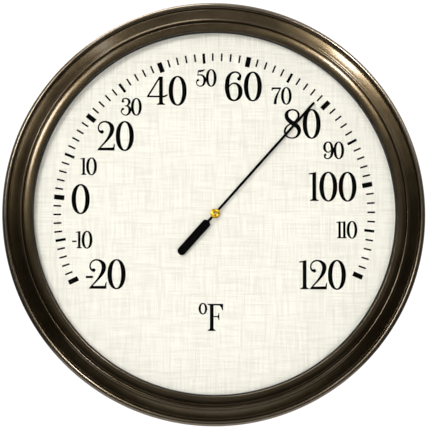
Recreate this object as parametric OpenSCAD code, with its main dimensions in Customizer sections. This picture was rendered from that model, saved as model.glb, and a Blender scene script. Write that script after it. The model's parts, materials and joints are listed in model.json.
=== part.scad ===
// Wall-hung dial thermometer with a bimetal coil movement.
//
// Every part is drawn as if the dial lay face up: X runs to the right, Y up the dial and Z out
// towards the reader, with Z = 0 on the wall. in_place() then stands the part up against the wall,
// so the dial faces -Y and its top points to +Z. The origin is the middle of the wall face.

/* [Case] */
// Outside diameter of the bezel
case_d = 343; // [338:1:350]
// Depth from the wall to the crest of the bezel
case_depth = 33; // [33:0.5:36]
// Width of the bezel ring, from its outside to its inner lip
bezel_w = 24.2; // [23.8:0.1:26]
// Wall thickness of the bezel moulding
case_wall = 2.6; // [2.2:0.1:3]
// Gap between the wall and the rear cover
back_gap = 3; // [2.8:0.1:3.4]
// Thickness of the rear cover
cover_t = 2; // [1.6:0.1:2.2]
// Number of rear cover screws
cover_screws = 6; // [4:1:8]
// Number of vent slots round the movement
vent_slots = 20; // [12:1:24]
// Number of air slots through the side of the case
air_slots = 12; // [6:2:20]

/* [Glass and dial] */
// Thickness of the glass
glass_t = 1.8; // [1.6:0.1:2]
// Thickness of the dial plate
plate_t = 1.6; // [1.2:0.1:1.8]
// Thickness of the printed card
card_t = 0.4; // [0.3:0.1:0.5]
// How much of the rubber gasket shows inside the bezel's lip
gasket_show = 1.2; // [0.6:0.1:1.6]

/* [Scale] */
// Coldest mark, in degrees Fahrenheit
scale_low = -20; // [-40:20:0]
// Hottest mark, in degrees Fahrenheit
scale_high = 120; // [100:20:120]
// Degrees between two ticks
tick_step = 2; // [1:1:5]
// Outer radius of the ticks
tick_r = 130.5; // [124:0.5:134]
// Temperature that the pointer shows as drawn
shown_temp = 77.7; // [-20:0.1:120]

/* [Pointer] */
// Length from the arbor to the tip
pointer_len = 121.4; // [90:0.2:122]
// Width of the needle
needle_w = 2.1; // [1.4:0.1:2.4]
// Length from the arbor to the end of the tail
tail_len = 44; // [30:0.5:60]
// Width of the tail paddle
paddle_w = 7; // [5:0.2:9]
// Diameter of the brass hub's head
hub_d = 7.9; // [6.6:0.1:9]

/* [Movement] */
// Diameter of the arbor
arbor_d = 1.6; // [1.2:0.1:1.8]
// Width of the bimetal strip
strip_w = 5; // [4:0.2:5]
// Thickness of the bimetal strip
strip_t = 0.5; // [0.3:0.05:0.6]
// Turns in the coil
coil_turns = 7.5; // [5.5:1:8.5]
// Radius at which the coil's outer end is held
anchor_r = 16.5; // [15:0.5:17]

/* [Hanger] */
// Diameter of the keyhole's entry for the screw head
key_d = 10; // [9:0.5:11]
// Width of the keyhole's slot
key_slot = 5; // [4.5:0.1:5.5]
// Height of the keyhole's entry above the dial's centre
key_y = 104; // [96:1:108]

/* [Hidden] */
$fn = 96;

bronze = [0.20, 0.15, 0.10];
cream = [0.96, 0.95, 0.90];
brass = [0.82, 0.62, 0.20];
steel = [0.72, 0.73, 0.74];

slip = 0.3;          // gap between pieces that drop into each other
running = 0.03;      // radial clearance of a turning fit
seated = 0.01;       // radial clearance of a fixed fit
cut = 1;             // how far a cutter runs past what it cuts

// Rings of the case, from the inside out
case_r = case_d / 2;
lip_r = case_r - bezel_w;
sight_r = lip_r - gasket_show;
pocket_r = lip_r + 4.2;
pocket_wall_r = pocket_r + 2.2;
channel_r = case_r - case_wall;
boss_r = (pocket_wall_r + channel_r) / 2;
disc_r = pocket_r - 0.2;
glass_r = lip_r + 2.3;

// Levels, from the wall forwards
cover_in = back_gap + cover_t;
lip_under = case_depth - 2.2;
flange_t = 0.8;
glass_front = lip_under - flange_t;
glass_back = glass_front - glass_t;
spacer_t = 4.4;
dial_front = glass_back - flange_t - spacer_t;
card_back = dial_front - card_t;
plate_back = card_back - plate_t;
print_t = 0.1;

// Levels of the movement, back from the dial plate
mplate_t = 1.2;
mplate_back = plate_back - mplate_t;
bush_end = mplate_back - 1.4;
collet_front = bush_end - 0.2;
collet_back = collet_front - 6.2;
strip_mid = (collet_front + collet_back) / 2;
boss_front = collet_back - 0.2;
arm_front = boss_front - 0.2;
arm_t = 0.8;
arm_back = arm_front - arm_t;
hub_flange_t = 1;
washer_front = arm_back - hub_flange_t;
washer_t = 0.4;
bridge_t = 1.2;
bridge_front = washer_front - washer_t;
bridge_back = bridge_front - bridge_t;
hub_back = bridge_back - 1.8;

// Levels of the pointer, forwards from the dial
pointer_t = 0.4;
pointer_back = dial_front + 3.4;
pointer_front = pointer_back + pointer_t;
hub_head_t = 1.1;

// Length and width of the ticks
heavy_tick = [8.3, 3.9];
medium_tick = [8.3, 2.2];
minor_tick = [6.3, 1.4];

arbor_r = arbor_d / 2;
journal_r = 3.2;
boss_pin_r = 3;
pillar_r = 22;
collet_r = 2.8;
coil_in_r = collet_r + 0.5;
key_pos = [0, key_y];
slot_len = 10;
rivet_x = 17;

// Angle of a temperature on the dial, clockwise from the top. The coil opens up a little more
// per degree as it warms, so the marks spread towards the hot end.
function dial_angle(t) = -4.05 + 1.633 * (t - 50) + 0.0006 * pow(t - 50, 2);

// Points of an arc from angle a0 to a1, in n steps
function arc(centre, r, a0, a1, n) =
    [for (i = [0:n]) let (a = a0 + (a1 - a0) * i / n) centre + r * [cos(a), sin(a)]];

// Points from p to q that dip by sag half way along
function dip(p, q, sag, n) =
    [for (i = [0:n]) let (t = i / n) p + (q - p) * t - [0, 4 * sag * t * (1 - t)]];

module in_place() {
    rotate([90, 0, 0]) children();
}

module disc(r, z0, z1) {
    translate([0, 0, z0]) cylinder(r = r, h = z1 - z0);
}

module ring(r_in, r_out, z0, z1) {
    difference() {
        disc(r_out, z0, z1);
        disc(r_in, z0 - cut, z1 + cut);
    }
}

// Children repeated at even angles on a circle, clockwise from angle first
module around(n, r, first = 0) {
    for (i = [0:n - 1]) rotate([0, 0, -first - 360 * i / n]) translate([0, r, 0]) children();
}

// Straight slot with round ends between two heights on the Y axis
module slot(w, y0, y1, z0, z1) {
    translate([-w / 2, y0, z0]) cube([w, y1 - y0, z1 - z0]);
    for (y = [y0, y1]) translate([0, y, 0]) disc(w / 2, z0, z1);
}

// Cross recess of a screw head, cut down from z
module cross_recess(size, z) {
    for (a = [45, 135]) rotate([0, 0, a]) translate([-size / 2, -size / 8, z - cut])
        cube([size, size / 4, cut + size / 3]);
}

// Half section of the bezel: terraces that step down outwards from the lip, over a hollow back
function bezel_front() = concat(
    [[lip_r, lip_under]],
    arc([lip_r + 0.9, case_depth - 0.9], 0.9, 180, 90, 5),
    arc([lip_r + 6.4, case_depth - 0.5], 0.35, 75, 8, 4),
    arc([lip_r + 7.35, case_depth - 2.85], 0.4, 200, 325, 5),
    arc([lip_r + 9.15, case_depth - 3.9], 1.5, 150, 12, 12),
    arc([lip_r + 11.1, case_depth - 4.35], 0.35, 215, 250, 2),
    dip([lip_r + 11.3, case_depth - 4.75], [case_r - 6.3, case_depth - 6.9], 0.1, 8),
    arc([case_r - 6.1, case_depth - 7.35], 0.4, 70, 5, 4),
    arc([case_r - 5.25, case_depth - 7.7], 0.4, 200, 320, 4),
    arc([case_r - 2.6, case_depth - 9.2], 2.6, 140, 0, 16)
);

module bezel_section() {
    polygon(concat(
        bezel_front(),
        arc([case_r - 0.8, 0.8], 0.8, 0, -90, 4),
        [[channel_r, 0],
         [channel_r, case_depth - 10.3],
         [case_r - 5.9, case_depth - 9.6],
         [lip_r + 10.9, case_depth - 7.2],
         [pocket_wall_r, case_depth - 6],
         [pocket_wall_r, cover_in],
         [pocket_r, cover_in],
         [pocket_r, lip_under]]
    ));
}

module bezel() {
    color(bronze) in_place() difference() {
        union() {
            rotate_extrude($fn = 200) bezel_section();
            around(cover_screws, boss_r, 30) disc(4, cover_in, case_depth - 8);
            // Key that stops the dial turning
            translate([-1.5, -pocket_r - 1, cover_in]) cube([3, 2.2, dial_front - cover_in]);
        }
        around(cover_screws, boss_r, 30) disc(1.47, cover_in - cut, cover_in + 12);
        // Slots that let air in behind the rear cover
        around(air_slots, channel_r - cut, 180 / air_slots)
            translate([-7, 0, 1]) cube([14, case_wall + 2 * cut, back_gap - 1.4]);
    }
}

module lens() {
    color([0.85, 0.92, 0.95, 0.35]) in_place() disc(glass_r, glass_back, glass_front);
}

module lens_gasket() {
    color([0.05, 0.05, 0.05]) in_place() difference() {
        disc(disc_r, glass_back - flange_t, lip_under);
        disc(sight_r, glass_front - seated, lip_under + cut);
        disc(sight_r + 1, glass_back - flange_t - cut, glass_back + seated);
        disc(glass_r + seated, glass_back, glass_front);
    }
}

module lens_spacer_ring() {
    color([0.08, 0.07, 0.06]) in_place() ring(lip_r + 0.4, disc_r, dial_front, glass_back - flange_t);
}

// Disc of the dial, with the arbor's hole and the notch for the bezel's key
module dial_disc(z0, z1) {
    difference() {
        disc(disc_r, z0, z1);
        disc(2.65, z0 - cut, z1 + cut);
        translate([-1.75, -pocket_r - 1, z0 - cut]) cube([3.5, 2.6, z1 - z0 + 2 * cut]);
    }
}

module dial_card() {
    color(cream) in_place() dial_disc(card_back, dial_front);
}

module dial_plate() {
    color([0.8, 0.81, 0.82]) in_place() difference() {
        dial_disc(plate_back, card_back);
        around(3, pillar_r, 60) disc(1 + seated, plate_back - cut, card_back + cut);
    }
}

// One printed tick at a temperature; size is its [length, width]
module tick(t, size) {
    rotate([0, 0, -dial_angle(t)]) translate([-size[1] / 2, tick_r - size[0], dial_front])
        cube([size[1], size[0], print_t]);
}

module scale_ticks() {
    color([0.02, 0.02, 0.02]) in_place() for (t = [scale_low:tick_step:scale_high]) {
        if (t % 20 == 0) tick(t, heavy_tick);
        else if (t % 10 == 0) tick(t, medium_tick);
        else tick(t, minor_tick);
    }
}

// Pocket that the head of the wall screw sits in
module hanger_pocket(grow, z0, z1) {
    translate([-8 - grow, key_y - 8 - grow, z0]) cube([16 + 2 * grow, 26 + 2 * grow, z1 - z0]);
}

module rear_cover() {
    color([0.13, 0.12, 0.11]) in_place() difference() {
        union() {
            disc(channel_r - slip, back_gap, cover_in);
            ring(lip_r - 0.6, lip_r + 1.4, cover_in, plate_back);
            ring(52, 53.6, cover_in, cover_in + 5);
            around(8, 0, 22.5) translate([-0.8, 53, cover_in]) cube([1.6, lip_r - 53.2, 4]);
            hanger_pocket(2, cover_in, back_gap + 8);
        }
        hanger_pocket(0, back_gap - cut, back_gap + 6);
        disc(5, back_gap - cut, cover_in + cut);
        around(vent_slots, 0) slot(3, 31, 47, back_gap - cut, cover_in + cut);
        around(cover_screws, boss_r, 30) disc(1.6, back_gap - cut, cover_in + cut);
        for (x = [-rivet_x, rivet_x]) translate([x, key_y + 5, 0])
            disc(1.5 + seated, back_gap - cut, cover_in + cut);
    }
}

module rear_cover_screws() {
    color(steel) in_place() around(cover_screws, boss_r, 30) difference() {
        union() {
            disc(2.8, back_gap - 1.8, back_gap);
            disc(1.45, back_gap, cover_in + 8);
            translate([0, 0, cover_in + 8]) cylinder(r1 = 1.45, r2 = 0.4, h = 1.6);
        }
        cross_recess(3.2, back_gap - 1.8);
    }
}

module hanger_plate() {
    color(steel) in_place() difference() {
        union() {
            translate([-22, key_y - 6, back_gap - 1.2]) cube([44, 22, 1.2]);
            translate([-18, key_y - 10, back_gap - 1.2]) cube([36, 30, 1.2]);
            for (x = [-18, 18]) for (y = [key_y - 6, key_y + 16]) translate([x, y, 0])
                disc(4, back_gap - 1.2, back_gap);
        }
        translate(key_pos) disc(key_d / 2, back_gap - 1.2 - cut, back_gap + cut);
        slot(key_slot, key_y, key_y + slot_len, back_gap - 1.2 - cut, back_gap + cut);
        for (x = [-rivet_x, rivet_x]) translate([x, key_y + 5, 0])
            disc(1.5 + seated, back_gap - 1.2 - cut, back_gap + cut);
    }
}

module hanger_rivets() {
    color(steel) in_place() for (x = [-rivet_x, rivet_x]) translate([x, key_y + 5, 0]) {
        translate([0, 0, back_gap - 2.2]) cylinder(r1 = 1.8, r2 = 2.8, h = 1);
        disc(1.5, back_gap - 1.2, cover_in);
        translate([0, 0, cover_in]) cylinder(r1 = 2.5, r2 = 1.7, h = 0.9);
    }
}

module movement_plate() {
    color([0.78, 0.66, 0.38]) in_place() difference() {
        disc(26, mplate_back, plate_back);
        disc(2.6 + seated, mplate_back - cut, plate_back + cut);
        around(3, pillar_r, 60) disc(1 + seated, mplate_back - cut, plate_back + cut);
        around(3, pillar_r) disc(1 + seated, mplate_back - cut, plate_back + cut);
        around(6, 13, 30) disc(3, mplate_back - cut, plate_back + cut);
    }
}

module movement_screws() {
    color(steel) in_place() around(3, pillar_r, 60) difference() {
        union() {
            disc(1.9, mplate_back - 1.4, mplate_back);
            disc(1, mplate_back, card_back);
        }
        cross_recess(2.2, mplate_back - 1.4);
    }
}

module front_bush() {
    color(brass) in_place() difference() {
        union() {
            disc(2.6, bush_end, dial_front + 0.8);
            disc(4.4, mplate_back - 1, mplate_back);
        }
        disc(arbor_r + running, bush_end - cut, dial_front + 0.8 + cut);
    }
}

module bridge_pillars() {
    color(brass) in_place() around(3, pillar_r) difference() {
        union() {
            disc(2.3, bridge_front, mplate_back);
            disc(1, mplate_back, plate_back);
        }
        disc(1 + seated, bridge_front - cut, bridge_front + 5);
    }
}

module rear_bridge() {
    color(steel) in_place() difference() {
        union() {
            disc(8.5, bridge_back, bridge_front);
            around(3, 0) translate([-2.5, 6, bridge_back]) cube([5, pillar_r - 6, bridge_t]);
            around(3, pillar_r) disc(3, bridge_back, bridge_front);
        }
        disc(journal_r + running, bridge_back - cut, bridge_front + cut);
        around(3, pillar_r) disc(1 + seated, bridge_back - cut, bridge_front + cut);
    }
}

module bridge_screws() {
    color(steel) in_place() around(3, pillar_r) difference() {
        union() {
            disc(1.9, bridge_back - 1.3, bridge_back);
            disc(1, bridge_back, bridge_front + 4);
        }
        cross_recess(2.2, bridge_back - 1.3);
    }
}

module friction_washer() {
    color(steel) in_place() ring(journal_r + 0.2, 5.2, bridge_front, washer_front - 0.02);
}

module adjuster_hub() {
    color(brass) in_place() difference() {
        union() {
            disc(journal_r, hub_back, washer_front);
            disc(5.2, washer_front, arm_back);
            disc(boss_pin_r, arm_back, boss_front);
        }
        ring(journal_r - 0.5, journal_r + cut, bridge_back - 0.7, bridge_back - 0.1);
        translate([-journal_r - cut, -0.45, hub_back - cut]) cube([2 * (journal_r + cut), 0.9, cut + 0.8]);
        disc(arbor_r + running, hub_back + 1.2, boss_front + cut);
    }
}

module adjuster_clip() {
    color(steel) in_place() difference() {
        ring(journal_r - 0.48, 5, bridge_back - 0.65, bridge_back - 0.15);
        translate([-2.2, 0, bridge_back - cut - 1]) cube([4.4, 6, 3]);
    }
}

module adjuster_arm() {
    color(steel) in_place() difference() {
        union() {
            disc(5, arm_back, arm_front);
            translate([-2, -anchor_r, arm_back]) cube([4, anchor_r, arm_t]);
            translate([0, -anchor_r, 0]) disc(2.4, arm_back, arm_front);
        }
        disc(boss_pin_r + seated, arm_back - cut, arm_front + cut);
        translate([0, -anchor_r, 0]) disc(1 + seated, arm_back - cut, arm_front + cut);
    }
}

module coil_anchor_pin() {
    color(brass) in_place() translate([0, -anchor_r, 0]) difference() {
        union() {
            disc(1.8, arm_back - 0.5, arm_back);
            disc(1, arm_back, arm_front);
            disc(1.5, arm_front, strip_mid + strip_w / 2 + 0.4);
        }
        translate([-3, -strip_t / 2 - 0.2, strip_mid - strip_w / 2 - 0.1])
            cube([6, strip_t + 0.4, strip_w + 2]);
    }
}

// Centre line of the coil: from the collet's slot at the bottom, out to the anchor pin
coil_steps = 32;
function coil_point(turn, side) =
    let (r = coil_in_r + (anchor_r - coil_in_r) * turn / coil_turns + side * strip_t / 2,
         a = 90 + 360 * turn)
    r * [cos(a), sin(a)];

module coil_outline() {
    steps = round(coil_turns * coil_steps);
    overrun = 1;
    polygon(concat(
        [for (i = [0:steps + overrun]) coil_point(i / coil_steps, 1)],
        [for (i = [steps + overrun:-1:0]) coil_point(i / coil_steps, -1)]
    ));
    translate([-strip_t / 2, arbor_r + 0.5]) square([strip_t, coil_in_r - arbor_r - 0.5 + strip_t / 2]);
}

module bimetal_coil() {
    color([0.60, 0.50, 0.40]) in_place()
        translate([0, 0, strip_mid - strip_w / 2]) linear_extrude(strip_w) coil_outline();
}

module coil_collet() {
    color(brass) in_place() difference() {
        disc(collet_r, collet_back, collet_front);
        disc(arbor_r + seated, collet_back - cut, collet_front + cut);
        translate([-strip_t / 2 - 0.05, arbor_r + 0.4, strip_mid - strip_w / 2 - 0.1])
            cube([strip_t + 0.1, collet_r, strip_w + cut + 2]);
    }
}

module arbor() {
    color(steel) in_place() disc(arbor_r, hub_back + 1.4, pointer_front + hub_head_t - 0.3);
}

// Pieces of the pointer turn with the temperature shown
module at_reading() {
    rotate([0, 0, -dial_angle(shown_temp)]) children();
}

module pointer_hub() {
    neck_r = 1.75;
    head_r = hub_d / 2;
    head = concat(
        [[arbor_r + seated, dial_front + 1.2], [collet_r, dial_front + 1.2],
         [collet_r, pointer_back], [neck_r, pointer_back], [neck_r, pointer_front],
         [head_r - 0.2, pointer_front]],
        arc([head_r - 0.35, pointer_front + 0.35], 0.35, -20, 60, 4),
        arc([0, pointer_front + hub_head_t - 12], 12, 74, 85, 5),
        [[arbor_r + seated, pointer_front + hub_head_t - 0.1]]
    );
    color(brass) in_place() at_reading() rotate_extrude() polygon(head);
}

module pointer() {
    shoulder_y = -8.4;
    corner_r = 2.4;
    end_y = -tail_len + paddle_w / 2;
    corner_y = shoulder_y - corner_r;
    color([0.02, 0.02, 0.02]) in_place() at_reading() difference() {
        union() {
            disc(3, pointer_back, pointer_front);
            translate([-needle_w / 2, shoulder_y, pointer_back])
                cube([needle_w, pointer_len - shoulder_y - 1, pointer_t]);
            translate([0, 0, pointer_back]) linear_extrude(pointer_t) polygon([
                [-needle_w / 2, pointer_len - 1], [needle_w / 2, pointer_len - 1],
                [needle_w / 5, pointer_len], [-needle_w / 5, pointer_len]]);
            translate([-paddle_w / 2, end_y, pointer_back])
                cube([paddle_w, corner_y - end_y, pointer_t]);
            translate([0, end_y, 0]) disc(paddle_w / 2, pointer_back, pointer_front);
            translate([-paddle_w / 2 + corner_r, corner_y - slip, pointer_back])
                cube([paddle_w - 2 * corner_r, corner_r + slip, pointer_t]);
            for (x = [-1, 1]) translate([x * (paddle_w / 2 - corner_r), corner_y, 0])
                disc(corner_r, pointer_back, pointer_front);
        }
        disc(1.75 + seated, pointer_back - cut, pointer_front + cut);
    }
}

bezel();
lens();
lens_gasket();
lens_spacer_ring();
dial_card();
scale_ticks();
dial_plate();
rear_cover();
rear_cover_screws();
hanger_plate();
hanger_rivets();
movement_plate();
movement_screws();
front_bush();
bridge_pillars();
rear_bridge();
bridge_screws();
friction_washer();
adjuster_hub();
adjuster_clip();
adjuster_arm();
coil_anchor_pin();
bimetal_coil();
coil_collet();
arbor();
pointer_hub();
pointer();
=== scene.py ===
"""Wall thermometer with a stepped bronze bezel, a linen dial card and a brass-hubbed pointer.

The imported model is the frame: X runs to the right, Z up the dial and -Y out of the wall towards
the reader. Sections and outlines are drawn in millimetres and made metres when they become mesh.
"""
import json
import math
import bmesh
import bpy
from mathutils import Matrix, Vector

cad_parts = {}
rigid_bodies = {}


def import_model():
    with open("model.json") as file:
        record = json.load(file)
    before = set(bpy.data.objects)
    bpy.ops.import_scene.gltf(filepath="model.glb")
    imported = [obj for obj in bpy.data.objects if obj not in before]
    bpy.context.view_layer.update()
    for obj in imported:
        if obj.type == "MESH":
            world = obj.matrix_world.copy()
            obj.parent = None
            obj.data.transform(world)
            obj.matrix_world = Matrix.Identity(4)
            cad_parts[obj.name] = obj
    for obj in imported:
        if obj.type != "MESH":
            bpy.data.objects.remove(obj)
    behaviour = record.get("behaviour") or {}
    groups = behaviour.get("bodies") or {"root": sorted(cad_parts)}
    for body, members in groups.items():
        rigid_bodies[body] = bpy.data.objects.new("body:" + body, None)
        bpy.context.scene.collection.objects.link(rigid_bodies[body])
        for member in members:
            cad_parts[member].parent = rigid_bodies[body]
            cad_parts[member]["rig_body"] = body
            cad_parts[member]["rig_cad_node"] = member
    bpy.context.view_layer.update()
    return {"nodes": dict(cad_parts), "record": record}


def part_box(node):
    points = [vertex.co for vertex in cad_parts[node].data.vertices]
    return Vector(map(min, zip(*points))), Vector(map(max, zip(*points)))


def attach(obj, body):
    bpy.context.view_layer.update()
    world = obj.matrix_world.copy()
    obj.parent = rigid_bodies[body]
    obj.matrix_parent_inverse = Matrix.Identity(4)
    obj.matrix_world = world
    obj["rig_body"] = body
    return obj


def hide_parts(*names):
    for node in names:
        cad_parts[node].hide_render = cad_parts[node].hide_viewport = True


MM = 0.001
DIAL_AXIS = (0, 1, 0)

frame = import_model()
nodes = frame["nodes"]
body_of = {n: body for body, members in frame["record"]["behaviour"]["bodies"].items() for n in members}


# ---------------------------------------------------------------- sizes, in millimetres

def reach(node):
    """Radius of a round node about the dial's axis."""
    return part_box(node)[1].x / MM


def front(node):
    """How far a node stands out from the wall."""
    return -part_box(node)[0].y / MM


def back(node):
    """How far a node's rear is from the wall."""
    return -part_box(node)[1].y / MM


case_r = reach("bezel")
crest = front("bezel")
glass_r = reach("lens")
lip_r = glass_r - 2.3
gasket_r = reach("lens_gasket")
pocket_r = gasket_r + 0.2
pocket_wall_r = pocket_r + 2.2
channel_r = case_r - 2.6
sight_r = lip_r - 1.2
lip_under = front("lens_gasket")
boss_r = (pocket_wall_r + channel_r) / 2
cover_back = back("rear_cover")
cover_in = cover_back + 2
dial_front = front("dial_card")
print_t = 0.1

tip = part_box("pointer")[1]
reading = math.atan2(tip.x, tip.z)
needle_len = 121.4
needle_w = 2.1
tail_len = 44
paddle_w = 7
hub_r = 3.95


# ---------------------------------------------------------------- shaping helpers

def deselect():
    if bpy.context.object and bpy.context.object.mode != "OBJECT":
        bpy.ops.object.mode_set(mode="OBJECT")
    bpy.ops.object.select_all(action="DESELECT")


def choose(*pieces):
    """Selects these objects only, with the first one active."""
    deselect()
    for piece in pieces:
        piece.select_set(True)
    bpy.context.view_layer.objects.active = pieces[0]


def fix_place():
    """Puts the chosen object's place into its mesh."""
    bpy.ops.object.transform_apply(location=True, rotation=True, scale=True)


def pick(piece, kind, test):
    """In edit mode, selects the verts, edges or faces that pass a test."""
    bpy.ops.mesh.select_mode(type={"verts": "VERT", "edges": "EDGE", "faces": "FACE"}[kind])
    bpy.ops.mesh.select_all(action="DESELECT")
    shape = bmesh.from_edit_mesh(piece.data)
    for part in getattr(shape, kind):
        if test(part):
            part.select_set(True)
    bmesh.update_edit_mesh(piece.data)


def close_up(piece):
    """Merges seams and poles, and turns the faces outward."""
    choose(piece)
    bpy.ops.object.mode_set(mode="EDIT")
    bpy.ops.mesh.select_all(action="SELECT")
    bpy.ops.mesh.remove_doubles(threshold=0.002 * MM)
    bpy.ops.mesh.normals_make_consistent(inside=False)
    bpy.ops.object.mode_set(mode="OBJECT")


def smooth(piece, angle=32):
    choose(piece)
    bpy.ops.object.shade_smooth_by_angle(angle=math.radians(angle))


def apply_modifier(piece, kind, **settings):
    choose(piece)
    modifier = piece.modifiers.new(kind.title(), kind)
    for name, value in settings.items():
        setattr(modifier, name, value)
    bpy.ops.object.modifier_apply(modifier=modifier.name)


def cut_away(piece, cutter):
    apply_modifier(piece, "BOOLEAN", object=cutter, operation="DIFFERENCE", solver="EXACT")
    bpy.data.objects.remove(cutter)


def copy_of(piece, name, place):
    """A copy with its own mesh, moved by a matrix."""
    twin = piece.copy()
    twin.data = piece.data.copy()
    twin.name = twin.data.name = name
    twin.data.transform(place)
    bpy.context.collection.objects.link(twin)
    return twin


def join(name, pieces):
    choose(*pieces)
    if len(pieces) > 1:
        bpy.ops.object.join()
    joined = bpy.context.object
    joined.name = joined.data.name = name
    return joined


def on_circle(radius, angle):
    """Matrix that takes a shape on the dial's axis to a radius and a clockwise angle in degrees."""
    return Matrix.Rotation(math.radians(angle), 4, "Y") @ Matrix.Translation((0, 0, radius * MM))


def repeated(master, name, radius, angles):
    """The master copied round a circle, joined as one piece."""
    made = join(name, [copy_of(master, name, on_circle(radius, a)) for a in angles])
    bpy.data.objects.remove(master)
    return made


# ---------------------------------------------------------------- sections and outlines

def arc(x, y, radius, start, end, steps):
    """Points of an arc about (x, y), with its angles in degrees."""
    turns = [math.radians(start + (end - start) * i / steps) for i in range(steps + 1)]
    return [(x + radius * math.cos(a), y + radius * math.sin(a)) for a in turns]


def dip(start, end, sag, steps):
    """Points of a shallow hollow between two points."""
    points = []
    for i in range(steps + 1):
        t = i / steps
        x = start[0] + (end[0] - start[0]) * t
        y = start[1] + (end[1] - start[1]) * t - 4 * sag * t * (1 - t)
        points.append((x, y))
    return points


def turned(name, section, steps=160):
    """A piece turned about the dial's axis from its half section of (radius, forward) points."""
    deselect()
    radius, forward = section[0]
    bpy.ops.mesh.primitive_plane_add(size=MM, location=(radius * MM, -forward * MM, 0))
    piece = bpy.context.object
    piece.name = piece.data.name = name
    fix_place()
    bpy.ops.object.mode_set(mode="EDIT")
    bpy.ops.mesh.select_mode(type="VERT")
    bpy.ops.mesh.merge(type="CENTER")
    for near, far in zip(section, section[1:]):
        step = ((far[0] - near[0]) * MM, (near[1] - far[1]) * MM, 0)
        bpy.ops.mesh.extrude_vertices_move(TRANSFORM_OT_translate={"value": step})
    bpy.ops.mesh.select_all(action="SELECT")
    bpy.ops.mesh.spin(steps=steps, angle=math.tau, center=(0, 0, 0), axis=DIAL_AXIS)
    close_up(piece)
    smooth(piece)
    return piece


def cut_sheet(name, outlines, low, high, edge=0.0):
    """A flat piece between two levels, cut to closed outlines. Outlines inside it are holes."""
    drawing = bpy.data.curves.new(name, "CURVE")
    drawing.dimensions = "2D"
    drawing.fill_mode = "BOTH"
    drawing.extrude = (high - low) / 2 - edge
    drawing.bevel_depth = edge
    drawing.bevel_resolution = 1
    drawing.offset = -edge
    for outline in outlines:
        line = drawing.splines.new("POLY")
        line.points.add(len(outline) - 1)
        line.use_cyclic_u = True
        for point, (x, y) in zip(line.points, outline):
            point.co = (x, y, 0, 1)
    piece = bpy.data.objects.new(name, drawing)
    bpy.context.collection.objects.link(piece)
    choose(piece)
    bpy.ops.object.convert(target="MESH")
    piece = bpy.context.object
    stood_up = Matrix.Scale(MM, 4) @ Matrix.Translation((0, -(low + high) / 2, 0))
    piece.data.transform(stood_up @ Matrix.Rotation(math.pi / 2, 4, "X"))
    close_up(piece)
    return piece


def block(name, x, y, z):
    """A box between three pairs of (low, high) in millimetres, y measured out from the wall."""
    deselect()
    bpy.ops.mesh.primitive_cube_add(
        size=1,
        location=(sum(x) / 2 * MM, -sum(y) / 2 * MM, sum(z) / 2 * MM),
        scale=((x[1] - x[0]) * MM, (y[1] - y[0]) * MM, (z[1] - z[0]) * MM),
    )
    piece = bpy.context.object
    piece.name = piece.data.name = name
    fix_place()
    return piece


def cross_cutter(size, level, depth):
    """Tapered cross that stamps a screw's recess, from the level of the head's face."""
    arms = []
    for turn in (45, 135):
        arm = block("arm", (-size / 2, size / 2), (level - 1, level + depth), (-size / 8, size / 8))
        choose(arm)
        bpy.ops.object.mode_set(mode="EDIT")
        pick(arm, "faces", lambda face: face.normal.y < -0.9)
        bpy.ops.transform.resize(value=(0.55, 1, 0.7), center_override=(0, -(level + depth) * MM, 0))
        bpy.ops.object.mode_set(mode="OBJECT")
        arm.data.transform(Matrix.Rotation(math.radians(turn), 4, "Y"))
        arms.append(arm)
    return arms


# ---------------------------------------------------------------- shader groups

def add(tree, kind, inputs=None, **settings):
    """A shader node with its settings; inputs are values, or sockets that are joined up."""
    node = tree.nodes.new("ShaderNode" + kind)
    for name, value in settings.items():
        setattr(node, name, value)
    for name, value in (inputs or {}).items():
        if isinstance(value, bpy.types.NodeSocket):
            tree.links.new(value, node.inputs[name])
        else:
            node.inputs[name].default_value = value
    return node


def maths(tree, operation, first, second=0.0, third=0.0, clamp=False):
    inputs = {0: first, 1: second, 2: third}
    return add(tree, "Math", inputs, operation=operation, use_clamp=clamp).outputs[0]


def ramp(tree, value, low, high, low_value=0.0, high_value=1.0, smooth_step=True):
    """Carries a value from one range to another, clamped."""
    inputs = {"Value": value, "From Min": low, "From Max": high, "To Min": low_value, "To Max": high_value}
    kind = "SMOOTHSTEP" if smooth_step else "LINEAR"
    return add(tree, "MapRange", inputs, interpolation_type=kind).outputs["Result"]


def blend(tree, factor, first, second):
    """Mixes two colours by a factor."""
    node = add(tree, "Mix", data_type="RGBA")
    for socket, value in ((0, factor), (6, first), (7, second)):
        if isinstance(value, bpy.types.NodeSocket):
            tree.links.new(value, node.inputs[socket])
        else:
            node.inputs[socket].default_value = value
    return node.outputs[2]


def new_group(name, inputs, outputs):
    """An empty node group; inputs and outputs are (name, kind, value)."""
    tree = bpy.data.node_groups.new(name, "ShaderNodeTree")
    for label, kind, value in inputs:
        socket = tree.interface.new_socket(label, in_out="INPUT", socket_type="NodeSocket" + kind)
        if value is not None:
            socket.default_value = value
    for label, kind in outputs:
        tree.interface.new_socket(label, in_out="OUTPUT", socket_type="NodeSocket" + kind)
    into, out = tree.nodes.new("NodeGroupInput"), tree.nodes.new("NodeGroupOutput")
    return tree, into.outputs, out.inputs


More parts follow.
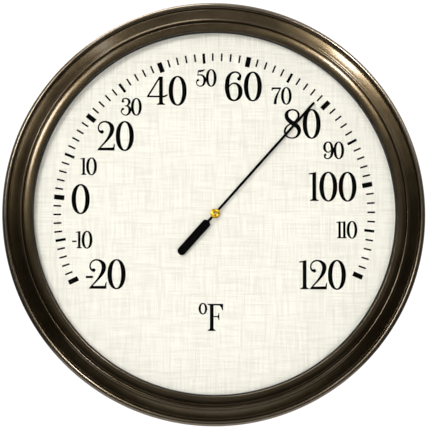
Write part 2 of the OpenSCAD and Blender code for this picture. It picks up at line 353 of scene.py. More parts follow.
def make_grain():
    """Fine unevenness of a finish: a height, and a slow patchiness for its gloss."""
    tree, given, result = new_group(
        "fine_grain",
        [("Place", "Vector", None), ("Grain mm", "Float", 0.5), ("Patch mm", "Float", 20.0)],
        [("Height", "Float"), ("Patches", "Float")],
    )
    fine = maths(tree, "DIVIDE", 1000, given["Grain mm"])
    slow = maths(tree, "DIVIDE", 1000, given["Patch mm"])
    where = given["Place"]
    grain = add(tree, "TexNoise", {"Vector": where, "Scale": fine, "Detail": 3, "Roughness": 0.6})
    patches = add(tree, "TexNoise", {"Vector": where, "Scale": slow, "Detail": 4, "Roughness": 0.65})
    tree.links.new(grain.outputs["Fac"], result["Height"])
    tree.links.new(ramp(tree, patches.outputs["Fac"], 0.3, 0.7), result["Patches"])
    return tree


def make_rings():
    """Fine turning marks left by a lathe about the dial's axis, and the distance from that axis."""
    tree, given, result = new_group(
        "turning_marks",
        [("Place", "Vector", None), ("Spacing mm", "Float", 0.12)],
        [("Marks", "Float"), ("Radius mm", "Float")],
    )
    parts = add(tree, "SeparateXYZ", {"Vector": given["Place"]})
    flat = add(tree, "CombineXYZ", {"X": parts.outputs["X"], "Z": parts.outputs["Z"]})
    radius = add(tree, "VectorMath", {0: flat.outputs["Vector"]}, operation="LENGTH").outputs["Value"]
    radius = maths(tree, "MULTIPLY", radius, 1000)
    along = add(tree, "CombineXYZ", {
        "X": maths(tree, "DIVIDE", radius, given["Spacing mm"]),
        "Y": maths(tree, "MULTIPLY", parts.outputs["Y"], 3000)})
    marks = add(tree, "TexNoise", {"Vector": along.outputs["Vector"], "Scale": 1, "Detail": 2})
    tree.links.new(marks.outputs["Fac"], result["Marks"])
    tree.links.new(radius, result["Radius mm"])
    return tree


def make_worn():
    """Rubbed places: broken patches inside a mask."""
    tree, given, result = new_group(
        "rubbed_places",
        [("Place", "Vector", None), ("Mask", "Float", 1.0), ("Patch mm", "Float", 6.0),
         ("Amount", "Float", 0.5)],
        [("Rubbed", "Float")],
    )
    scale = maths(tree, "DIVIDE", 1000, given["Patch mm"])
    noise = add(tree, "TexNoise", {"Vector": given["Place"], "Scale": scale, "Detail": 5, "Roughness": 0.7})
    start = maths(tree, "SUBTRACT", 0.75, maths(tree, "MULTIPLY", given["Amount"], 0.5))
    broken = ramp(tree, noise.outputs["Fac"], start, maths(tree, "ADD", start, 0.18))
    tree.links.new(maths(tree, "MULTIPLY", broken, given["Mask"]), result["Rubbed"])
    return tree


def make_linen():
    """Linen laid flat on the dial: fine threads both ways, with thicker bundles here and there."""
    tree, given, result = new_group(
        "linen_weave",
        [("Place", "Vector", None), ("Thread mm", "Float", 0.55), ("Bundle mm", "Float", 9.3)],
        [("Height", "Float"), ("Shade", "Float")],
    )
    across = []
    for thin, long in (("X", "Z"), ("Z", "X")):
        parts = add(tree, "SeparateXYZ", {"Vector": given["Place"]})
        metres = maths(tree, "MULTIPLY", parts.outputs[thin], 1000)
        run = maths(tree, "MULTIPLY", parts.outputs[long], 1000)

        def threads(width, length, offset, detail):
            vector = add(tree, "CombineXYZ", {
                "X": maths(tree, "DIVIDE", metres, width),
                "Y": maths(tree, "DIVIDE", run, length),
                "Z": offset})
            inputs = {"Vector": vector.outputs["Vector"], "Scale": 1, "Detail": detail}
            return add(tree, "TexNoise", inputs).outputs["Fac"]

        fine = threads(given["Thread mm"], 22.0, 3.0, 1)
        slubs = ramp(tree, threads(1.5, 45.0, 7.0, 2), 0.46, 0.74)
        wander = threads(24.0, 60.0, 11.0, 1)
        beat = maths(tree, "DIVIDE", metres, given["Bundle mm"])
        beat = maths(tree, "ADD", beat, maths(tree, "MULTIPLY", wander, 1.6))
        beat = maths(tree, "PINGPONG", beat, 0.5)
        bundle = ramp(tree, beat, 0.14, 0.0)
        bundle = maths(tree, "MULTIPLY", bundle, ramp(tree, threads(5.0, 45.0, 17.0, 1), 0.38, 0.6))
        across.append((fine, slubs, bundle))
    fine = maths(tree, "ADD", across[0][0], across[1][0])
    thick = maths(tree, "ADD", across[0][1], across[1][1])
    thick = maths(tree, "ADD", thick, maths(tree, "ADD", across[0][2], across[1][2]))
    height = maths(tree, "ADD", fine, maths(tree, "MULTIPLY", thick, 0.6))
    tree.links.new(height, result["Height"])
    shade = maths(tree, "MULTIPLY", maths(tree, "SUBTRACT", fine, 0.9), 2.4)
    shade = maths(tree, "ADD", shade, maths(tree, "MULTIPLY", thick, 0.5), clamp=True)
    tree.links.new(shade, result["Shade"])
    return tree


GRAIN = make_grain()
RINGS = make_rings()
WORN = make_worn()
LINEN = make_linen()


# ---------------------------------------------------------------- finishes

def new_finish(name, **sockets):
    """A material with its Principled shader's own sockets set; returns it, its tree and the shader."""
    material = bpy.data.materials.new(name)
    material.use_nodes = True
    tree = material.node_tree
    shader = tree.nodes["Principled BSDF"]
    for socket, value in sockets.items():
        shader.inputs[socket.replace("_", " ")].default_value = value
    return material, tree, shader


def place(tree):
    return add(tree, "TexCoord").outputs["Object"]


def use(tree, group, **inputs):
    """Places a shader group in a material, and returns its outputs."""
    node = tree.nodes.new("ShaderNodeGroup")
    node.node_tree = group
    for name, value in inputs.items():
        socket = node.inputs[name.replace("_", " ")]
        if isinstance(value, bpy.types.NodeSocket):
            tree.links.new(value, socket)
        else:
            socket.default_value = value
    return node.outputs


def raise_surface(tree, shader, height, depth_mm, strength=1.0):
    bump = add(tree, "Bump", {"Height": height, "Distance": depth_mm * MM, "Strength": strength})
    tree.links.new(bump.outputs["Normal"], shader.inputs["Normal"])


def bronze_case():
    """Oil-rubbed bronze lacquer: dark brown with a warm metallic fleck and paler rubbed patches on its
    crests, plus a painted highlight: the outer bead is painted paler all round.
    """
    material, tree, shader = new_finish("bronze_lacquer", Metallic=0.95, Coat_Roughness=0.13, Coat_IOR=1.45)
    where = place(tree)
    grain = use(tree, GRAIN, Place=where, Grain_mm=0.9, Patch_mm=34.0)
    fleck = use(tree, GRAIN, Place=where, Grain_mm=0.45, Patch_mm=1.6)
    radius = use(tree, RINGS, Place=where, Spacing_mm=0.4)["Radius mm"]
    crests = 0.0
    for ridge, width in ((lip_r + 6.5, 0.6), (lip_r + 9.0, 1.2), (case_r - 6.0, 0.5), (case_r - 2.0, 3.0)):
        off = maths(tree, "ABSOLUTE", maths(tree, "SUBTRACT", radius, ridge))
        crests = maths(tree, "ADD", crests, ramp(tree, off, width, 0.0), clamp=True)
    rubbed = use(tree, WORN, Place=where, Mask=crests, Patch_mm=9.0, Amount=0.4)["Rubbed"]
    # Painted highlight: an even paler band all round the outer bead that stands in for the light it catches.
    # It is not wear.
    painted_bead_sheen = ramp(tree, radius, case_r - 4.6, case_r - 1.6, 0.0, 0.42)
    brown = blend(tree, grain["Patches"], (0.058, 0.039, 0.016, 1), (0.076, 0.053, 0.024, 1))
    warm = blend(tree, maths(tree, "MULTIPLY", fleck["Patches"], 0.45), brown, (0.130, 0.094, 0.048, 1))
    # Paler colour from two sources: real wear in the rubbed crest patches, and the painted highlight on the
    # outer bead.
    wear_and_painted_sheen = maths(tree, "MULTIPLY_ADD", rubbed, 0.3, painted_bead_sheen)
    colour = blend(tree, wear_and_painted_sheen, warm, (0.360, 0.300, 0.232, 1))
    tree.links.new(colour, shader.inputs["Base Color"])
    gloss = maths(tree, "MULTIPLY_ADD", fleck["Height"], 0.08, 0.17)
    tree.links.new(maths(tree, "MULTIPLY_ADD", grain["Patches"], 0.05, gloss), shader.inputs["Roughness"])
    tree.links.new(ramp(tree, grain["Patches"], 0, 1, 0.6, 0.8), shader.inputs["Coat Weight"])
    raise_surface(tree, shader, fleck["Height"], 0.0015, 0.6)
    return material


def clear_glass():
    """Clear float glass, which lets light through to the dial in its shadow."""
    material, tree, shader = new_finish("float_glass", Transmission_Weight=1.0, IOR=1.5)
    shader.inputs["Base Color"].default_value = (0.985, 0.995, 0.99, 1)
    smears = use(tree, GRAIN, Place=place(tree), Grain_mm=3.0, Patch_mm=60.0)
    tree.links.new(ramp(tree, smears["Patches"], 0, 1, 0.0, 0.02), shader.inputs["Roughness"])
    through = add(tree, "BsdfTransparent")
    is_shadow = add(tree, "LightPath").outputs["Is Shadow Ray"]
    mix = add(tree, "MixShader", {0: is_shadow, 1: shader.outputs[0], 2: through.outputs[0]})
    tree.links.new(mix.outputs[0], tree.nodes["Material Output"].inputs["Surface"])
    return material


def moulded(name, dark, light, grain_mm, depth_mm, roughness):
    """A moulded or rubber surface with a fine even texture."""
    material, tree, shader = new_finish(name)
    where = place(tree)
    grain = use(tree, GRAIN, Place=where, Grain_mm=grain_mm, Patch_mm=28.0)
    dust = use(tree, WORN, Place=where, Mask=1.0, Patch_mm=14.0, Amount=0.3)["Rubbed"]
    colour = blend(tree, grain["Patches"], dark, light)
    colour = blend(tree, maths(tree, "MULTIPLY", dust, 0.12), colour, (0.30, 0.28, 0.25, 1))
    tree.links.new(colour, shader.inputs["Base Color"])
    rough = maths(tree, "MULTIPLY_ADD", grain["Height"], 0.14, roughness - 0.07)
    tree.links.new(maths(tree, "MULTIPLY_ADD", dust, 0.1, rough), shader.inputs["Roughness"])
    raise_surface(tree, shader, grain["Height"], depth_mm, 0.9)
    return material


def dial_card():
    """Warm white card printed with, and lightly pressed into, a linen weave."""
    material, tree, shader = new_finish("linen_card", Specular_IOR_Level=0.25)
    where = place(tree)
    linen = use(tree, LINEN, Place=where, Thread_mm=0.8, Bundle_mm=9.3)
    grain = use(tree, GRAIN, Place=where, Grain_mm=0.25, Patch_mm=45.0)
    paper = blend(tree, grain["Patches"], (0.915, 0.882, 0.792, 1), (0.930, 0.898, 0.808, 1))
    colour = blend(tree, maths(tree, "MULTIPLY", linen["Shade"], 0.6), paper, (0.720, 0.684, 0.596, 1))
    tree.links.new(colour, shader.inputs["Base Color"])
    tree.links.new(ramp(tree, linen["Height"], 0.6, 1.6, 0.74, 0.62), shader.inputs["Roughness"])
    pressed = maths(tree, "MULTIPLY_ADD", grain["Height"], 0.15, linen["Height"])
    raise_surface(tree, shader, pressed, 0.03, 0.5)
    return material


def printed_or_painted(name, colour, roughness, grain_mm, depth_mm):
    """Matt black ink or paint, a little uneven where it lies thin."""
    material, tree, shader = new_finish(name, Specular_IOR_Level=0.02)
    where = place(tree)
    grain = use(tree, GRAIN, Place=where, Grain_mm=grain_mm, Patch_mm=7.0)
    thin = tuple(c * 2.2 for c in colour[:3]) + (1,)
    tree.links.new(blend(tree, grain["Patches"], colour, thin), shader.inputs["Base Color"])
    rough = maths(tree, "MULTIPLY_ADD", grain["Height"], 0.2, roughness - 0.1)
    tree.links.new(rough, shader.inputs["Roughness"])
    raise_surface(tree, shader, grain["Height"], depth_mm, 0.6)
    return material


def turned_metal(name, colour, tarnish, roughness, spacing_mm):
    """Lathe-turned metal with fine rings and a little tarnish."""
    material, tree, shader = new_finish(name, Metallic=1.0)
    where = place(tree)
    rings = use(tree, RINGS, Place=where, Spacing_mm=spacing_mm)["Marks"]
    grain = use(tree, GRAIN, Place=where, Grain_mm=0.2, Patch_mm=3.0)
    dull = use(tree, WORN, Place=where, Mask=1.0, Patch_mm=4.0, Amount=0.5)["Rubbed"]
    base = blend(tree, maths(tree, "MULTIPLY", dull, 0.6), colour, tarnish)
    base = blend(tree, maths(tree, "MULTIPLY", rings, 0.25), base, tarnish)
    tree.links.new(base, shader.inputs["Base Color"])
    rough = maths(tree, "MULTIPLY_ADD", rings, 0.2, roughness - 0.1)
    tree.links.new(maths(tree, "MULTIPLY_ADD", dull, 0.15, rough), shader.inputs["Roughness"])
    raise_surface(tree, shader, maths(tree, "MULTIPLY_ADD", grain["Height"], 0.3, rings), 0.006, 0.7)
    return material


def plated_steel():
    """Zinc-plated steel: a soft grey spangle with faint blue and straw tints, dulled where touched."""
    material, tree, shader = new_finish("plated_steel", Metallic=1.0)
    where = place(tree)
    cells = add(tree, "TexVoronoi", {"Vector": where, "Scale": 380.0, "Randomness": 1.0})
    grain = use(tree, GRAIN, Place=where, Grain_mm=0.18, Patch_mm=6.0)
    dull = use(tree, WORN, Place=where, Mask=1.0, Patch_mm=5.0, Amount=0.55)["Rubbed"]
    spangle = add(tree, "SeparateColor", {"Color": cells.outputs["Color"]}).outputs["Red"]
    base = blend(tree, spangle, (0.50, 0.52, 0.545, 1), (0.66, 0.67, 0.68, 1))
    base = blend(tree, maths(tree, "MULTIPLY", grain["Patches"], 0.3), base, (0.66, 0.61, 0.50, 1))
    base = blend(tree, maths(tree, "MULTIPLY", dull, 0.4), base, (0.34, 0.34, 0.34, 1))
    tree.links.new(base, shader.inputs["Base Color"])
    rough = maths(tree, "MULTIPLY_ADD", spangle, 0.12, 0.26)
    tree.links.new(maths(tree, "MULTIPLY_ADD", dull, 0.2, rough), shader.inputs["Roughness"])
    raise_surface(tree, shader, grain["Height"], 0.008, 0.6)
    return material


def rolled_sheet(name, colour, dark, roughness):
    """Rolled metal with drawn-out rolling lines along one way."""
    material, tree, shader = new_finish(name, Metallic=1.0)
    where = place(tree)
    stretch = add(tree, "Mapping", {"Vector": where, "Scale": (9.0, 700.0, 700.0)})
    lines = add(tree, "TexNoise", {"Vector": stretch.outputs["Vector"], "Scale": 4.0, "Detail": 4})
    grain = use(tree, GRAIN, Place=where, Grain_mm=0.3, Patch_mm=12.0)
    base = blend(tree, lines.outputs["Fac"], colour, dark)
    base = blend(tree, maths(tree, "MULTIPLY", grain["Patches"], 0.25), base, dark)
    tree.links.new(base, shader.inputs["Base Color"])
    rough = maths(tree, "MULTIPLY_ADD", lines.outputs["Fac"], 0.22, roughness - 0.1)
    tree.links.new(rough, shader.inputs["Roughness"])
    raise_surface(tree, shader, lines.outputs["Fac"], 0.006, 0.6)
    return material


def bimetal_strip():
    """Two rolled alloys, warm on one side, with the blue and straw tints of its heat treatment."""
    material, tree, shader = new_finish("heat_tinted_strip", Metallic=1.0)
    where = place(tree)
    grain = use(tree, GRAIN, Place=where, Grain_mm=0.25, Patch_mm=5.0)
    rings = use(tree, RINGS, Place=where, Spacing_mm=0.5)["Marks"]
    base = blend(tree, grain["Patches"], (0.56, 0.46, 0.34, 1), (0.60, 0.50, 0.33, 1))
    base = blend(tree, ramp(tree, rings, 0.45, 0.7, 0.0, 0.35), base, (0.34, 0.36, 0.44, 1))
    tree.links.new(base, shader.inputs["Base Color"])
    tree.links.new(ramp(tree, grain["Height"], 0, 1, 0.26, 0.48), shader.inputs["Roughness"])
    raise_surface(tree, shader, grain["Height"], 0.006, 0.6)
    return material


FINISHES = {
    "bronze_case": bronze_case(),
    "clear_glass": clear_glass(),
    "black_rubber": moulded(
        "soft_rubber", (0.010, 0.010, 0.010, 1), (0.018, 0.017, 0.016, 1), 0.4, 0.02, 0.66),
    "black_plastic": moulded(
        "smooth_moulding", (0.013, 0.012, 0.011, 1), (0.024, 0.022, 0.020, 1), 0.3, 0.01, 0.5),
    "cover_plastic": moulded(
        "textured_moulding", (0.022, 0.019, 0.016, 1), (0.034, 0.029, 0.025, 1), 0.7, 0.06, 0.55),
    "dial_card": dial_card(),
    "black_ink": printed_or_painted("printing_ink", (0.0006, 0.0006, 0.0006, 1), 0.72, 0.4, 0.01),
    "needle_black": printed_or_painted("matt_paint", (0.0005, 0.0005, 0.0005, 1), 0.6, 0.25, 0.01),
    "dial_sheet": rolled_sheet("rolled_aluminium", (0.80, 0.81, 0.82, 1), (0.62, 0.63, 0.65, 1), 0.34),
    "zinc_steel": plated_steel(),
    "brass": turned_metal("turned_brass", (0.74, 0.47, 0.03, 1), (0.26, 0.15, 0.01, 1), 0.22, 0.14),
    "bimetal": bimetal_strip(),
}


def paint(piece, slot):
    piece.data.materials.clear()
    piece.data.materials.append(FINISHES[slot])


def fit(piece, slot, *stands_for, body=None):
    """Finishes a new piece: its material, the body it rides on and the nodes that it stands for."""
    paint(piece, slot)
    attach(piece, body or body_of[stands_for[0]])
    if stands_for:
        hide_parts(*stands_for)


# ---------------------------------------------------------------- case

def bezel_section():
    """Half section of the bezel: terraces that step down outwards from the lip, hollow behind."""
    front_face = [(lip_r, lip_under)]
    front_face += arc(lip_r + 0.9, crest - 0.9, 0.9, 180, 90, 6)
    front_face += arc(lip_r + 6.4, crest - 0.5, 0.35, 75, 8, 5)
    front_face += arc(lip_r + 7.35, crest - 2.85, 0.4, 200, 325, 7)
    front_face += arc(lip_r + 9.15, crest - 3.9, 1.5, 150, 12, 14)
    front_face += arc(lip_r + 11.1, crest - 4.35, 0.35, 215, 250, 3)
    front_face += dip((lip_r + 11.3, crest - 4.75), (case_r - 6.3, crest - 6.9), 0.1, 9)
    front_face += arc(case_r - 6.1, crest - 7.35, 0.4, 70, 5, 5)
    front_face += arc(case_r - 5.25, crest - 7.7, 0.4, 200, 320, 6)
    front_face += arc(case_r - 2.6, crest - 9.2, 2.6, 140, 0, 18)
    rear = arc(case_r - 0.8, 0.8, 0.8, 0, -90, 5)
    rear += arc(channel_r + 0.3, 0.3, 0.3, -90, -180, 3)
    hollow = [
        (channel_r, crest - 10.3), (case_r - 5.9, crest - 9.6), (lip_r + 10.9, crest - 7.2),
        (pocket_wall_r, crest - 6), (pocket_wall_r, cover_in), (pocket_r, cover_in),
        (pocket_r, lip_under), (lip_r, lip_under),
    ]
    return front_face + rear + hollow


def make_bezel():
    ring = turned("bezel_ring", bezel_section(), steps=240)
    cut_away(ring, repeated(air_slot_cutter(), "air_slots", channel_r, range(15, 375, 30)))
    boss = turned("boss", [
        (0, cover_in + 12), (1.47, cover_in + 12), (1.47, cover_in + 0.4), (1.8, cover_in),
        (4, cover_in), (4, crest - 8), (0, crest - 8)], steps=32)
    bosses = repeated(boss, "bosses", boss_r, range(30, 390, 60))
    key = block("key", (-1.5, 1.5), (cover_in, dial_front), (-pocket_r - 1, -pocket_r + 1.2))
    apply_modifier(key, "BEVEL", width=0.3 * MM, segments=2)
    ring = join("bezel_ring", [ring, bosses, key])
    smooth(ring)
    fit(ring, "bronze_case", "bezel")


def air_slot_cutter():
    """Slot with rounded ends that lets air in through the side of the case, behind the cover."""
    slot = block("air_slot", (-7, 7), (1, 2.6), (-1, 4.6))
    choose(slot)
    bpy.ops.object.mode_set(mode="EDIT")
    pick(slot, "edges", lambda e: abs((e.verts[0].co - e.verts[1].co).normalized().z) > 0.9)
    bpy.ops.mesh.bevel(offset=0.75 * MM, segments=4)
    bpy.ops.object.mode_set(mode="OBJECT")
    return slot


def make_glass():
    glass_back, glass_front = back("lens"), front("lens")
    edge = 0.35
    pane = turned("lens_glass", [
        (0, glass_back), (glass_r - edge, glass_back), (glass_r, glass_back + edge),
        (glass_r, glass_front - edge), (glass_r - edge, glass_front), (0, glass_front)], steps=192)
    fit(pane, "clear_glass", "lens")


def make_gasket():
    """Rubber channel that grips the rim of the glass and shows as a black line inside the lip."""
    glass_back, glass_front = back("lens"), front("lens")
    low = back("lens_gasket")
    section = [(glass_r, glass_front), (sight_r, glass_front)]
    section += arc(sight_r + 0.35, lip_under - 0.35, 0.35, 180, 90, 4)
    section += [(gasket_r, lip_under), (gasket_r, low)]
    section += arc(sight_r + 1.35, low + 0.35, 0.35, 270, 180, 4)
    section += [(sight_r + 1, glass_back), (glass_r, glass_back), (glass_r, glass_front)]
    fit(turned("gasket_rubber", section, steps=192), "black_rubber", "lens_gasket")


# ---------------------------------------------------------------- printed figures

def oval(half_wide, half_high, x=0.0, y=0.0, square=2.0, steps=48):
    """Closed outline of an oval; square above 2 fills its corners out a little."""
    line = []
    for i in range(steps):
        c, s = math.cos(math.tau * i / steps), math.sin(math.tau * i / steps)
        line.append((x + half_wide * math.copysign(abs(c) ** (2 / square), c),
                     y + half_high * math.copysign(abs(s) ** (2 / square), s)))
    return line


def flowing(points, steps=7):
    """Points of a smooth line through every point given."""
    ends = [points[0], *points, points[-1]]
    line = []
    for a, b, c, d in zip(ends, ends[1:], ends[2:], ends[3:]):
        for i in range(steps):
            t = i / steps
            line.append(tuple(
                q + 0.5 * t * (r - p + t * (2 * p - 5 * q + 4 * r - s + t * (3 * q - p - 3 * r + s)))
                for p, q, r, s in zip(a, b, c, d)))
    return [*line, tuple(points[-1])]


def pen(*points):
    """Closed outline of one pen stroke through points of (x, y, half width)."""
    line = flowing(points)
    left, right = [], []
    for i, (x, y, half) in enumerate(line):
        x0, y0, _ = line[max(i - 1, 0)]
        x1, y1, _ = line[min(i + 1, len(line) - 1)]
        run = math.hypot(x1 - x0, y1 - y0)
        across = (-(y1 - y0) / run * half, (x1 - x0) / run * half)
        left.append((x + across[0], y + across[1]))
        right.append((x - across[0], y - across[1]))
    return left + right[::-1]


def foot(x, low, half):
    """Bracketed serif under a stem."""
    right = [(half, low), (half, low + 0.9), (2.6, low + 1.3), (1.7, low + 2.4)]
    return [(x + out, y) for out, y in right] + [(x - out, y) for out, y in reversed(right)]


def half_turn(strokes):
    return [[[(-x, -y) for x, y in outline] for outline in stroke] for stroke in strokes]


# Figures are drawn 30 units high about their middle. Each is a list of strokes, and a stroke is
# a list of closed outlines, of which the second is a hole.
SIX = [
    [oval(1.85, 1.9, 5.2, 7.9)],
    [pen((5.3, 8.2, 1.5), (6.2, 9.9, 1.3), (5.9, 12.0, 0.95), (4.0, 13.8, 0.8), (1.0, 14.4, 0.7),
         (-2.8, 12.9, 1.05), (-5.8, 8.4, 1.8), (-6.75, 2.0, 2.1), (-6.75, -3.6, 2.1), (-5.3, -9.9, 1.75),
         (-2.9, -13.2, 1.1), (0.1, -14.3, 0.7))],
    [pen((0.0, -14.35, 0.6), (3.3, -13.1, 1.0), (5.9, -9.6, 1.75), (6.6, -5.0, 2.05), (5.6, -0.6, 1.7),
         (2.9, 2.4, 1.0), (-0.4, 3.1, 0.65), (-3.4, 1.6, 0.55), (-5.6, -1.2, 0.5))],
]
FIGURES = {
    "0": [[oval(8.95, 14.95, square=2.12), oval(4.75, 13.75)]],
    "1": [
        [[(-1.7, -13.6), (1.8, -13.6), (1.8, 14.5), (-5.2, 13.2), (-5.2, 12.2), (-1.7, 12.5)]],
        [foot(0.05, -14.3, 4.1)],
    ],
    "2": [
        [oval(1.75, 1.7, -3.9, 4.0)],
        [pen((-3.9, 4.0, 1.2), (-5.7, 4.3, 0.95), (-7.1, 6.0, 0.75), (-7.5, 8.4, 0.6), (-6.5, 11.4, 0.6),
             (-3.8, 13.7, 0.65), (-0.2, 14.2, 0.7), (3.4, 12.7, 1.25), (5.7, 9.8, 1.95), (6.2, 6.4, 2.05),
             (5.0, 2.0, 1.8), (2.2, -2.6, 1.2), (-1.4, -7.0, 0.8), (-4.8, -10.7, 0.6), (-7.6, -13.6, 0.5))],
        [[(-8.7, -14.5), (8.5, -14.5), (8.9, -8.1), (8.3, -8.0), (7.2, -11.7), (-4.9, -11.9), (-7.7, -13.6)]],
    ],
    "3": [
        [oval(1.85, 1.85, -5.3, 9.2)],
        [pen((-5.3, 9.2, 1.2), (-5.9, 11.3, 0.9), (-4.0, 13.6, 0.75), (-0.3, 14.35, 0.65), (3.2, 13.2, 1.1),
             (5.4, 10.3, 1.8), (5.4, 6.9, 1.8), (3.2, 3.2, 1.1), (0.6, 1.6, 0.6), (-1.6, 1.2, 0.5))],
        [pen((-0.4, 1.4, 0.5), (2.6, 1.1, 0.9), (5.4, -1.2, 1.7), (6.6, -5.6, 2.1), (5.6, -10.0, 1.8),
             (3.0, -13.2, 1.1), (-0.8, -14.35, 0.65), (-4.8, -13.0, 0.6), (-7.6, -9.6, 0.6),
             (-7.6, -6.2, 0.9), (-5.2, -3.4, 1.3))],
        [oval(1.8, 1.8, -5.3, -3.9)],
    ],
    "4": [
        [[(2.0, -13.4), (5.4, -13.4), (5.4, 14.1), (2.0, 14.1)]],
        [[(2.0, 14.1), (3.6, 14.1), (-8.2, -5.2), (-10.3, -6.6), (-10.2, -5.6)]],
        [[(-10.3, -6.6), (5.0, -6.6), (5.0, -5.1), (-9.9, -5.1)]],
        [pen((4.6, -5.9, 0.75), (7.0, -5.7, 0.8), (8.8, -4.9, 0.7), (10.3, -3.9, 0.3))],
        [foot(3.7, -14.1, 3.9)],
    ],
    "5": [
        [pen((-4.6, 12.2, 1.0), (-3.6, 11.7, 1.5), (-0.2, 12.0, 1.5), (3.3, 12.8, 1.1), (6.4, 14.4, 0.25))],
        [[(-5.3, 12.0), (-4.3, 12.0), (-5.2, 4.4), (-6.2, 4.2)]],
        [pen((-5.9, 4.3, 0.45), (-3.0, 5.1, 0.6), (0.6, 4.8, 0.95), (4.3, 2.4, 1.6), (6.1, -1.6, 2.05),
             (6.0, -6.8, 2.0), (4.0, -11.6, 1.4), (1.0, -13.9, 0.8), (-2.2, -14.3, 0.6), (-6.2, -12.4, 0.55),
             (-8.0, -8.6, 0.55), (-7.2, -5.6, 0.9), (-5.2, -3.6, 1.3))],
        [oval(1.75, 1.75, -5.2, -4.0)],
    ],
    "6": SIX,
    "7": [
        [[(-7.9, 14.2), (7.7, 14.2), (7.6, 12.6), (6.6, 11.7), (-5.9, 11.7), (-6.9, 9.2), (-8.1, 9.2)]],
        [pen((6.9, 12.6, 0.7), (4.2, 7.6, 0.85), (1.6, 2.4, 1.25), (-0.5, -3.2, 1.75), (-1.8, -9.0, 2.1),
             (-2.2, -14.2, 2.2))],
    ],
    "8": [
        [pen((0.1, 14.35, 0.6), (-3.6, 13.2, 0.95), (-5.9, 9.9, 1.6), (-5.3, 5.8, 1.9), (-2.4, 2.4, 2.05),
             (1.7, -0.3, 2.15), (5.3, -3.1, 2.05), (6.9, -7.2, 1.75), (5.5, -11.4, 1.2), (2.6, -13.8, 0.75),
             (-0.4, -14.4, 0.55))],
        [pen((0.0, 14.35, 0.6), (3.7, 13.3, 0.8), (6.1, 10.3, 0.95), (6.0, 6.9, 0.9), (3.6, 3.4, 0.7),
             (0.0, 0.9, 0.55), (-4.2, -1.5, 0.65), (-6.9, -4.6, 0.85), (-7.7, -8.4, 0.95),
             (-6.2, -12.0, 0.85), (-3.3, -13.9, 0.6), (-0.3, -14.4, 0.55))],
    ],
    "9": half_turn(SIX),
    "-": [[[(-3.5, -1.0), (3.5, -1.0), (3.5, 1.0), (-3.5, 1.0)]]],
    "degree": [[oval(4.25, 5.7), oval(2.15, 4.8)]],
    "F": [
        [[(-5.5, -12.6), (-2.1, -12.6), (-2.1, 13.2), (-5.5, 13.2)]],
        [[(-7.6, -13.4), (-0.1, -13.4), (-0.1, -12.6), (-1.4, -12.1), (-2.1, -11.0), (-5.5, -11.0),
          (-6.2, -12.1), (-7.6, -12.6)]],
        [[(-7.6, 13.4), (7.5, 13.4), (7.5, 7.2), (6.9, 7.2), (5.4, 10.6), (3.9, 12.0), (-2.1, 12.1),
          (-2.6, 11.2), (-5.0, 11.2), (-6.2, 12.3), (-7.6, 12.5)]],
        [[(-2.6, 0.4), (1.6, 0.4), (2.8, -0.8), (3.1, -2.7), (3.7, -2.7), (3.7, 4.0), (3.1, 4.0), (2.8, 2.2),
          (1.6, 1.3), (-2.6, 1.3)]],
    ],
}
HALF_WIDTH = {
    "0": 9.0, "1": 3.8, "2": 8.5, "3": 8.1, "4": 10.0,
    "5": 7.8, "6": 8.7, "7": 7.6, "8": 9.0, "9": 8.7,
}
UNIT = {"large": 0.809, "small": 0.472}
GAP = {"large": 1.4, "small": 0.6}
WEIGHT = {"large": 0.14, "small": 0.34}

# The scale's numbers: text, where the middle of the last figure lies on the dial, and size
NUMBERS = [
    ("-20", -79.4, -49.1, "large"), ("-10", -103.25, -21.4, "small"), ("0", -108.5, 11.4, "large"),
    ("10", -99.8, 37.9, "small"), ("20", -73.0, 62.65, "large"), ("30", -63.7, 86.4, "small"),
    ("40", -30.25, 99.65, "large"), ("50", -3.0, 110.35, "small"), ("60", 30.9, 103.6, "large"),
    ("70", 58.2, 96.15, "small"), ("80", 78.8, 73.4, "large"), ("90", 100.95, 51.95, "small"),
    ("100", 108.0, 22.35, "large"), ("110", 111.55, -12.7, "small"), ("120", 99.15, -49.25, "large"),
]


def bolder(outline, amount):
    """The outline moved outwards by an amount, or inwards by a negative one."""
    before, after = outline[-1:] + outline[:-1], outline[1:] + outline[:1]
    area = sum(x0 * y1 - x1 * y0 for (x0, y0), (x1, y1) in zip(outline, after))
    moved = []
    for (x0, y0), (x, y), (x1, y1) in zip(before, outline, after):
        first, second = math.hypot(x - x0, y - y0), math.hypot(x1 - x, y1 - y)
        out_x = (y - y0) / first + (y1 - y) / second
        out_y = (x0 - x) / first + (x - x1) / second
        step = math.copysign(2, area) * amount / max(out_x ** 2 + out_y ** 2, 1)
        moved.append((x + out_x * step, y + out_y * step))
    return moved


def print_figure(figure, weight):
    """One figure in ink, drawn about the dial's middle at a unit a millimetre."""
    strokes = []
    for outer, *holes in FIGURES[figure]:
        outlines = [bolder(outer, weight)] + [bolder(hole, -weight) for hole in holes]
        strokes.append(cut_sheet("stroke", outlines, dial_front, dial_front + print_t))
    return join("figure", strokes)


def print_numbers():
    masters = {(figure, size): print_figure(figure, WEIGHT[size]) for figure in FIGURES for size in UNIT}

    def stamp(figure, x, z, size):
        move = Matrix.Translation((x * MM, 0, z * MM))
        unit = UNIT[size]
        return copy_of(masters[figure, size], "figure", move @ Matrix.Diagonal((unit, 1, unit, 1)))

    for text, x, z, size in NUMBERS:
        unit, gap = UNIT[size], GAP[size]
        stamped = [stamp(text[-1], x, z, size)]
        for right, figure in zip(text[::-1], text[-2::-1]):
            if figure == "-":
                stamped.append(stamp(figure, x - 8.2 * unit, z - 2.8 * unit, size))
            else:
                x -= (HALF_WIDTH[figure] + gap + HALF_WIDTH[right]) * unit
                stamped.append(stamp(figure, x, z, size))
        fit(join("numeral_" + text, stamped), "black_ink", body="case")
    letters = [stamp("degree", -9.7, -76.8, "large"), stamp("F", 0.5, -83.8, "large")]
    fit(join("degree_F", letters), "black_ink", body="case")
    for master in masters.values():
        bpy.data.objects.remove(master)


# ---------------------------------------------------------------- pointer

